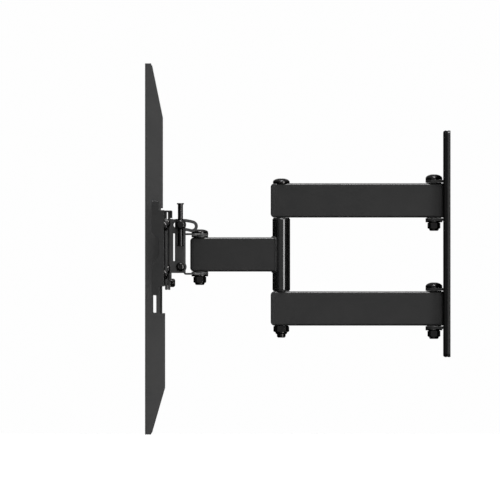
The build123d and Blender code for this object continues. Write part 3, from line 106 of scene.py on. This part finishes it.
class Finish:
    """A procedural material. Its methods add nodes and return the socket that the next one reads."""

    def __init__(self, name, roughness, metallic=0.0, specular=0.5, coat=0.0, coat_roughness=0.03):
        self.material = bpy.data.materials.new(name)
        self.material.use_nodes = True
        self.tree = self.material.node_tree
        self.shader = self.tree.nodes["Principled BSDF"]
        self.shader.inputs["Roughness"].default_value = roughness
        self.shader.inputs["Metallic"].default_value = metallic
        self.shader.inputs["Specular IOR Level"].default_value = specular
        self.shader.inputs["Coat Weight"].default_value = coat
        self.shader.inputs["Coat Roughness"].default_value = coat_roughness
        self.place = self.add("ShaderNodeTexCoord").outputs["Object"]

    def add(self, kind, **settings):
        node = self.tree.nodes.new(kind)
        for name, value in settings.items():
            setattr(node, name, value)
        return node

    def feed(self, socket, value):
        """Join a socket to another node's output, or set it to a plain value."""
        if isinstance(value, bpy.types.NodeSocket):
            self.tree.links.new(value, socket)
        else:
            socket.default_value = value

    def fill(self, node, **inputs):
        """Feed a node's inputs by name; underscores stand for spaces."""
        for name, value in inputs.items():
            self.feed(node.inputs[name.replace("_", " ")], value)

    def stretched(self, scale):
        """The object's own coordinates, scaled along each axis."""
        node = self.add("ShaderNodeMapping")
        self.fill(node, Vector=self.place, Scale=scale)
        return node.outputs["Vector"]

    def noise(self, size, detail=2.0, roughness=0.5, vector=None):
        """Cloudy noise from 0 to 1 whose lumps are about size metres across."""
        node = self.add("ShaderNodeTexNoise")
        place = vector or self.place
        self.fill(node, Vector=place, Scale=1 / size, Detail=detail, Roughness=roughness)
        return node.outputs["Fac"]

    def cells(self, size):
        """Distance to the nearest of scattered points about size metres apart."""
        node = self.add("ShaderNodeTexVoronoi")
        self.fill(node, Vector=self.place, Scale=1 / size)
        return node.outputs["Distance"]

    def between(self, value, low, high, to_low=0.0, to_high=1.0):
        """Map a value's range to another, clamped."""
        node = self.add("ShaderNodeMapRange", clamp=True)
        self.fill(node, Value=value, From_Min=low, From_Max=high, To_Min=to_low, To_Max=to_high)
        return node.outputs["Result"]

    def math(self, operation, first, second):
        node = self.add("ShaderNodeMath", operation=operation)
        self.feed(node.inputs[0], first)
        self.feed(node.inputs[1], second)
        return node.outputs["Value"]

    def blend(self, factor, first, second):
        """A colour between two colours."""
        node = self.add("ShaderNodeMix", data_type="RGBA")
        self.feed(node.inputs[MIX_FACTOR], factor)
        self.feed(node.inputs[MIX_FIRST], first)
        self.feed(node.inputs[MIX_SECOND], second)
        return node.outputs[MIX_RESULT]

    def mottle(self, cloud, level, shades, tints=(NEUTRAL, NEUTRAL)):
        """A colour that follows a cloud from the dark to the light shade of a level, each tinted."""
        dark, light = shades
        return self.blend(cloud, grey(dark * level, tints[0]), grey(light * level, tints[1]))

    def eased_edges(self, radius):
        """The surface normal with every sharp edge eased by radius, and how strongly it is eased."""
        bevel = self.add("ShaderNodeBevel", samples=BEVEL_SAMPLES)
        self.fill(bevel, Radius=radius)
        flat = self.add("ShaderNodeNewGeometry")
        dot = self.add("ShaderNodeVectorMath", operation="DOT_PRODUCT")
        self.feed(dot.inputs[0], bevel.outputs["Normal"])
        self.feed(dot.inputs[1], flat.outputs["Normal"])
        strength = self.between(dot.outputs["Value"], EASED_BELOW, 1.0, to_low=1.0, to_high=0.0)
        return bevel.outputs["Normal"], strength

    def bump(self, height, depth, normal):
        """A normal that follows a height from 0 to 1, depth metres deep, on top of another normal."""
        node = self.add("ShaderNodeBump")
        self.fill(node, Height=height, Distance=depth, Strength=1.0, Normal=normal)
        return node.outputs["Normal"]

    def paint(self, colour, roughness=None, normal=None):
        for name, value in (("Base Color", colour), ("Roughness", roughness), ("Normal", normal)):
            if value is not None:
                self.feed(self.shader.inputs[name], value)
        return self.material


# ---- finishes ------------------------------------------------------------------------------------

POWDER_EASE = 0.45 * MM
POWDER_PEEL = 0.9 * MM
POWDER_CLOUD = 26 * MM
POWDER_SHADES = (0.9, 1.1)
POWDER_TINTS = ((0.98, 0.99, 1.02), (1.02, 1.0, 0.98))
POWDER_GLOSS = (-0.015, 0.025)
POWDER_DEPTH = 0.022 * MM
NIB_SPACING = 5.5 * MM
NIB_RIM = (0.035, 0.06)
NIB_HEIGHT = 0.6
WEAR_PATCH = 3.5 * MM
WEAR_BAND = (0.35, 0.7)
WEAR_SHINE = 0.1


def powder_coat(name, level, roughness, edge_level):
    """Satin baked paint: orange-peel skin, faint cloudiness, rare dust nibs, thin bright edges."""
    coat = Finish(name, roughness=roughness, specular=0.4)
    eased, edge = coat.eased_edges(POWDER_EASE)
    skin = coat.noise(POWDER_PEEL, detail=3.0, roughness=0.55)
    cloud = coat.noise(POWDER_CLOUD, detail=3.0)
    nib = coat.between(coat.cells(NIB_SPACING), *NIB_RIM, to_low=1.0, to_high=0.0)
    body = coat.mottle(cloud, level, POWDER_SHADES, POWDER_TINTS)
    worn = coat.math("MULTIPLY", edge, coat.between(coat.noise(WEAR_PATCH, detail=4.0), *WEAR_BAND))
    body = coat.blend(worn, body, grey(edge_level))
    gloss = coat.between(cloud, *MID_NOISE, *(roughness + change for change in POWDER_GLOSS))
    gloss = coat.math("SUBTRACT", gloss, coat.math("MULTIPLY", worn, WEAR_SHINE))
    height = coat.math("ADD", skin, coat.math("MULTIPLY", nib, NIB_HEIGHT))
    return coat.paint(body, gloss, coat.bump(height, POWDER_DEPTH, eased))


ENAMEL_EASE = 0.4 * MM
ENAMEL_CLOUD = 30 * MM
ENAMEL_SHADES = (0.8, 1.3)
ENAMEL_GLOSS = (0.12, 0.26)
ENAMEL_DEPTH = 0.008 * MM
DRAWN_SIZE = 1.6 * MM
DRAWN_STRETCH = (1, 1, 0.06)
RUB_SIZE = 0.35 * MM
RUB_STRETCH = (1, 1, 0.02)
RUB_BAND = (0.35, 0.75)
RUB_HEIGHT = 0.25
ENAMEL_EDGE = 0.5
ENAMEL_EDGE_LIFT = 5


def gloss_enamel(name, level):
    """Sprayed gloss black over drawn tube: long soft ripples and a few fine rub marks."""
    enamel = Finish(name, roughness=0.16, specular=0.5, coat=0.5, coat_roughness=0.08)
    eased, edge = enamel.eased_edges(ENAMEL_EASE)
    drawn = enamel.noise(DRAWN_SIZE, detail=3.0, vector=enamel.stretched(DRAWN_STRETCH))
    rubs = enamel.noise(RUB_SIZE, detail=2.0, vector=enamel.stretched(RUB_STRETCH))
    body = enamel.mottle(enamel.noise(ENAMEL_CLOUD), level, ENAMEL_SHADES)
    body = enamel.blend(enamel.math("MULTIPLY", edge, ENAMEL_EDGE), body, grey(ENAMEL_EDGE_LIFT * level))
    gloss = enamel.between(rubs, *RUB_BAND, *ENAMEL_GLOSS)
    height = enamel.math("ADD", drawn, enamel.math("MULTIPLY", rubs, RUB_HEIGHT))
    return enamel.paint(body, gloss, enamel.bump(height, ENAMEL_DEPTH, eased))


PLASTIC_GLOSS = (0.48, 0.57)
PLASTIC_EASE = 0.4 * MM
PLASTIC_GRAIN = 0.55 * MM
PLASTIC_CLOUD = 18 * MM
PLASTIC_SHADES = (0.88, 1.15)
PLASTIC_TINTS = ((0.99, 1.0, 1.01), NEUTRAL)
PLASTIC_DEPTH = 0.03 * MM
PLASTIC_EDGE = 0.35
PLASTIC_EDGE_LIFT = 2.2


def moulded_plastic(name, level):
    """Spark-eroded black plastic: a fine even grain, a little paler on its edges."""
    plastic = Finish(name, roughness=0.52, specular=0.07)
    eased, edge = plastic.eased_edges(PLASTIC_EASE)
    pits = plastic.cells(PLASTIC_GRAIN)
    clouds = plastic.noise(PLASTIC_CLOUD, detail=2.0)
    body = plastic.mottle(clouds, level, PLASTIC_SHADES, PLASTIC_TINTS)
    body = plastic.blend(plastic.math("MULTIPLY", edge, PLASTIC_EDGE), body, grey(PLASTIC_EDGE_LIFT * level))
    gloss = plastic.between(clouds, *MID_NOISE, *PLASTIC_GLOSS)
    return plastic.paint(body, gloss, plastic.bump(pits, PLASTIC_DEPTH, eased))


PLATE_EASE = 0.25 * MM
PLATE_FILM = 4.5 * MM
PLATE_MARKS = 0.28 * MM
PLATE_SHADES = (0.8, 1.25)
PLATE_TINTS = ((0.92, 0.98, 1.12), (1.08, 1.0, 0.92))
PLATE_GLOSS = (0.11, 0.25)
PLATE_DEPTH = 0.006 * MM
RUBBED_PATCH = 1.4 * MM
RUBBED_BAND = (0.42, 0.68)
RUBBED_LEVEL = 0.22
RAW_STEEL = (1.0, 0.98, 0.95)


def black_plate(name, level):
    """Black zinc plate on machined steel: a hard sheen with a cool cast, rubbed on its corners."""
    plate = Finish(name, roughness=0.17, metallic=1.0)
    eased, edge = plate.eased_edges(PLATE_EASE)
    film = plate.noise(PLATE_FILM, detail=3.0)
    marks = plate.noise(PLATE_MARKS, detail=2.0)
    body = plate.mottle(film, level, PLATE_SHADES, PLATE_TINTS)
    worn = plate.math("MULTIPLY", edge, plate.between(plate.noise(RUBBED_PATCH, detail=3.0), *RUBBED_BAND))
    body = plate.blend(worn, body, grey(RUBBED_LEVEL, RAW_STEEL))
    gloss = plate.between(film, *MID_NOISE, *PLATE_GLOSS)
    return plate.paint(body, gloss, plate.bump(marks, PLATE_DEPTH, eased))


STEEL_EASE = 0.25 * MM
STEEL_CLOUD = 7 * MM
STEEL_RINGS = 0.3 * MM
STEEL_STRETCH = (0.04, 0.04, 1)
STEEL_SHADES = (0.36, 0.5)
STEEL_TINTS = (NEUTRAL, RAW_STEEL)
STEEL_GLOSS = (0.26, 0.42)
STEEL_DEPTH = 0.01 * MM


def turned_steel(name):
    """Bare turned tube with fine rings round it."""
    steel = Finish(name, roughness=0.34, metallic=1.0)
    eased, _ = steel.eased_edges(STEEL_EASE)
    rings = steel.noise(STEEL_RINGS, detail=2.0, vector=steel.stretched(STEEL_STRETCH))
    body = steel.mottle(steel.noise(STEEL_CLOUD, detail=3.0), 1.0, STEEL_SHADES, STEEL_TINTS)
    gloss = steel.between(rings, *MID_NOISE, *STEEL_GLOSS)
    return steel.paint(body, gloss, steel.bump(rings, STEEL_DEPTH, eased))


NYLON_EASE = 0.3 * MM
NYLON_CLOUD = 6 * MM
NYLON_GRAIN = 0.4 * MM
NYLON_SHADES = (0.85, 1.2)
NYLON_GLOSS = (0.36, 0.5)
NYLON_DEPTH = 0.012 * MM


def nylon(name, level):
    """Turned black nylon: waxy, with a soft machined grain."""
    wax = Finish(name, roughness=0.42, specular=0.4)
    eased, _ = wax.eased_edges(NYLON_EASE)
    grain = wax.noise(NYLON_GRAIN, detail=2.0)
    body = wax.mottle(wax.noise(NYLON_CLOUD, detail=2.0), level, NYLON_SHADES)
    gloss = wax.between(grain, *MID_NOISE, *NYLON_GLOSS)
    return wax.paint(body, gloss, wax.bump(grain, NYLON_DEPTH, eased))


FINISHES = {
    "powder_coat": powder_coat("satin_black_powder", level=0.0155, roughness=0.3, edge_level=0.05),
    "rail_coat": powder_coat("satin_charcoal_powder", level=0.036, roughness=0.4, edge_level=0.08),
    "gloss_coat": gloss_enamel("gloss_black_enamel", level=0.003),
    "black_plastic": moulded_plastic("grained_black_plastic", level=0.003),
    "black_zinc": black_plate("black_zinc_plate", level=0.036),
    "plain_steel": turned_steel("turned_steel"),
    "nylon": nylon("black_nylon", level=0.025),
}

# The photo shows these pieces lighter than the others of their slot.
CAP_FINISH = moulded_plastic("grained_charcoal_plastic", level=0.028)
# Painted light: the head plates get a lighter copy of the black powder coat, standing in for the light that
# the rails shade off them.
HEAD_PAINTED_LIGHT_FINISH = powder_coat("satin_black_powder_with_painted_light", level=0.045, roughness=0.4, edge_level=0.1)
HEAD_PLATES = ("tilt_yoke", "left_cheek", "right_cheek", "swivel_clevis", "hanger_plate")

for subpart in frame["record"]["subparts"]:
    mesh = nodes[subpart["node"]].data
    mesh.materials.clear()
    if "arm" in subpart["node"] and subpart["node"].endswith("_cap"):
        mesh.materials.append(CAP_FINISH)
    elif subpart["node"] in HEAD_PLATES:
        mesh.materials.append(HEAD_PAINTED_LIGHT_FINISH)
    else:
        mesh.materials.append(FINISHES[subpart["material_slot"]])

# ---- pieces the CAD leaves out: weld bead, thread ------------------------------------------------

# Directions that a swept bar's path never runs along: one for level stretches, one for upright ones.
LEVEL_GUIDE = Vector((0.31, 0.17, 0.94))
UPRIGHT_GUIDE = Vector((0, 1, 0))
UPRIGHT_ABOVE = 0.9


def swept(name, body, slot, path, radius_at, closed=False, sides=10):
    """A round bar along a dense path; radius_at gives its radius from the distance run."""
    shape = bmesh.new()
    count = len(path)
    rings = []
    run = 0.0
    for i, point in enumerate(path):
        ahead = path[(i + 1) % count] if closed or i < count - 1 else point
        behind = path[i - 1] if closed or i > 0 else point
        along = (ahead - behind).normalized()
        side = along.cross(LEVEL_GUIDE if abs(along.z) < UPRIGHT_ABOVE else UPRIGHT_GUIDE).normalized()
        up = along.cross(side)
        radius = radius_at(run)
        rings.append([
            shape.verts.new(point + radius * (cos(turn) * side + sin(turn) * up))
            for turn in (2 * pi * k / sides for k in range(sides))
        ])
        run += (ahead - point).length
    for i in range(count if closed else count - 1):
        first, second = rings[i], rings[(i + 1) % count]
        shift = 0
        if closed and i == count - 1:
            shift = min(range(sides), key=lambda k: (second[k].co - first[0].co).length)
        for k in range(sides):
            shape.faces.new((
                first[k], first[(k + 1) % sides],
                second[(k + 1 + shift) % sides], second[(k + shift) % sides],
            ))
    if not closed:
        shape.faces.new(rings[0][::-1])
        shape.faces.new(rings[-1])
    bmesh.ops.recalc_face_normals(shape, faces=shape.faces)
    for face in shape.faces:
        face.smooth = True
    mesh = bpy.data.meshes.new(name)
    shape.to_mesh(mesh)
    shape.free()
    mesh.materials.append(FINISHES[slot])
    piece = bpy.data.objects.new(name, mesh)
    bpy.context.scene.collection.objects.link(piece)
    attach(piece, body)


BEAD_RADIUS = 1.25 * MM
BEAD_PITCH = 1.7 * MM
BEAD_STEP = 0.3 * MM
BEAD_RIPPLE = 0.11
BEAD_SWELL = 0.07
BEAD_SWELL_SPAN = 4.3 * MM
TUBE_CORNER = 2.5 * MM
CORNER_STEP_DEGREES = 15


def saddle_line(tube_low, tube_high, post_low, post_high):
    """The line where a rectangular tube, running along Y, meets a round post on its +Y side."""
    post_y = (post_low.y + post_high.y) / 2
    post_radius = (post_high.y - post_low.y) / 2
    corners = [
        (tube_high.x - TUBE_CORNER, tube_high.z - TUBE_CORNER, 0),
        (tube_low.x + TUBE_CORNER, tube_high.z - TUBE_CORNER, 90),
        (tube_low.x + TUBE_CORNER, tube_low.z + TUBE_CORNER, 180),
        (tube_high.x - TUBE_CORNER, tube_low.z + TUBE_CORNER, 270),
    ]
    outline = [
        (x + TUBE_CORNER * cos(radians(turn)), z + TUBE_CORNER * sin(radians(turn)))
        for x, z, start in corners
        for turn in range(start, start + 91, CORNER_STEP_DEGREES)
    ]
    line = []
    for (x0, z0), (x1, z1) in zip(outline, outline[1:] + outline[:1]):
        steps = max(1, round(sqrt((x1 - x0) ** 2 + (z1 - z0) ** 2) / BEAD_STEP))
        for k in range(steps):
            x = x0 + (x1 - x0) * k / steps
            z = z0 + (z1 - z0) * k / steps
            line.append(Vector((x, post_y - sqrt(post_radius**2 - x**2), z)))
    return line


def weld_radius(run):
    """A hand weld's ripples, with a slow swell."""
    ripple = BEAD_RIPPLE * sin(2 * pi * run / BEAD_PITCH)
    swell = BEAD_SWELL * sin(run / BEAD_SWELL_SPAN)
    return BEAD_RADIUS * (1 + ripple + swell)


swept(
    "front_arm_weld",
    "front_arm_unit",
    "powder_coat",
    saddle_line(*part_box("front_arm"), *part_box("elbow_post")),
    weld_radius,
    closed=True,
)

THREAD_RADIUS = 4.9 * MM
THREAD_PITCH = 1.5 * MM
THREAD_STEPS = 24
RIDGE_RADIUS = 0.27 * THREAD_PITCH
THREAD_INTO_NUT = 0.4 * MM
BARE_TIP = 1.7 * MM


def thread_line(axis, top_z, bottom_z):
    """The helix of a thread's crest, from the top down."""
    turns = (top_z - bottom_z) / THREAD_PITCH
    return [
        Vector((
            axis.x + THREAD_RADIUS * cos(2 * pi * k / THREAD_STEPS),
            axis.y + THREAD_RADIUS * sin(2 * pi * k / THREAD_STEPS),
            top_z - THREAD_PITCH * k / THREAD_STEPS,
        ))
        for k in range(round(turns * THREAD_STEPS))
    ]


elbow_low, elbow_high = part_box("elbow_bolt")
nut_low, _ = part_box("elbow_nut")
swept(
    "elbow_bolt_thread",
    "wall_arms",
    "black_zinc",
    thread_line((elbow_low + elbow_high) / 2, nut_low.z + THREAD_INTO_NUT, elbow_low.z + BARE_TIP),
    lambda run: RIDGE_RADIUS,
    sides=6,
)

# ---- stage: pale floor, soft studio light --------------------------------------------------------

FLOOR_DROP = 0.1
FLOOR_RADIUS = 9.0
FLOOR_CLOUD = 0.5
FLOOR_SHADES = (0.84, 0.88)

floor_mesh = bpy.data.meshes.new("floor")
shape = bmesh.new()
bmesh.ops.create_circle(shape, cap_ends=True, segments=96, radius=FLOOR_RADIUS)
bmesh.ops.translate(shape, verts=shape.verts, vec=(0, 0, cad_low.z - FLOOR_DROP))
shape.to_mesh(floor_mesh)
shape.free()
floor = bpy.data.objects.new("floor", floor_mesh)
bpy.context.scene.collection.objects.link(floor)
floor_finish = Finish("pale_floor", roughness=0.9, specular=0.1)
floor_tone = floor_finish.mottle(floor_finish.noise(FLOOR_CLOUD), 1.0, FLOOR_SHADES)
floor_mesh.materials.append(floor_finish.paint(floor_tone))
floor.visible_glossy = False


def aimed(name, data, place, target):
    """Link a light at place, pointing at target; the camera doesn't see the lamp itself."""
    lamp = bpy.data.objects.new(name, data)
    lamp.location = place
    lamp.rotation_euler = (Vector(target) - Vector(place)).to_track_quat("-Z", "Y").to_euler()
    lamp.visible_camera = False
    bpy.context.scene.collection.objects.link(lamp)
    return lamp


def softbox(name, place, target, width, height, power):
    data = bpy.data.lights.new(name, "AREA")
    data.shape = "RECTANGLE"
    data.size = width
    data.size_y = height
    data.energy = power
    return aimed(name, data, place, target)


def soft_sun(name, direction, spread, strength):
    data = bpy.data.lights.new(name, "SUN")
    data.angle = radians(spread)
    data.energy = strength
    return aimed(name, data, direction, (0, 0, 0))


middle = (cad_low + cad_high) / 2
soft_sun("overhead", (0.35, 0.05, 1.0), spread=26, strength=3.3)
# The strip only draws highlights, such as the line down the post. The left fill draws none.
strip = softbox("strip", (1.25, 0.7, 0.1), middle, width=0.4, height=1.6, power=18)
strip.visible_diffuse = False
softbox("front_card", (1.4, -0.2, 0.1), middle, width=1.5, height=2.0, power=3.6)
left_fill = softbox("left_fill", (-1.4, -0.8, 0.5), middle, width=0.9, height=1.4, power=10)
left_fill.visible_glossy = False

# The camera sees a white backdrop, and everything else a sky that darkens to the horizon.
WHITE = (1, 1, 1, 1)
SKY_AT_HORIZON = 0.03
SKY_OVERHEAD = 0.5
BACKDROP = 0.99

world = bpy.data.worlds.new("studio")
world.use_nodes = True
bpy.context.scene.world = world
links = world.node_tree.links
made = world.node_tree.nodes
made.clear()
direction = made.new("ShaderNodeTexCoord")
height = made.new("ShaderNodeSeparateXYZ")
ramp = made.new("ShaderNodeMapRange")
ramp.clamp = True
ramp.inputs["From Min"].default_value = 0.0
ramp.inputs["From Max"].default_value = 1.0
ramp.inputs["To Min"].default_value = SKY_AT_HORIZON
ramp.inputs["To Max"].default_value = SKY_OVERHEAD
studio = made.new("ShaderNodeBackground")
studio.inputs["Color"].default_value = WHITE
backdrop = made.new("ShaderNodeBackground")
backdrop.inputs["Color"].default_value = WHITE
backdrop.inputs["Strength"].default_value = BACKDROP
seen = made.new("ShaderNodeLightPath")
choose = made.new("ShaderNodeMixShader")
output = made.new("ShaderNodeOutputWorld")
links.new(direction.outputs["Generated"], height.inputs[0])
links.new(height.outputs["Z"], ramp.inputs["Value"])
links.new(ramp.outputs["Result"], studio.inputs["Strength"])
links.new(seen.outputs["Is Camera Ray"], choose.inputs[0])
links.new(studio.outputs[0], choose.inputs[1])
links.new(backdrop.outputs[0], choose.inputs[2])
links.new(choose.outputs[0], output.inputs[0])
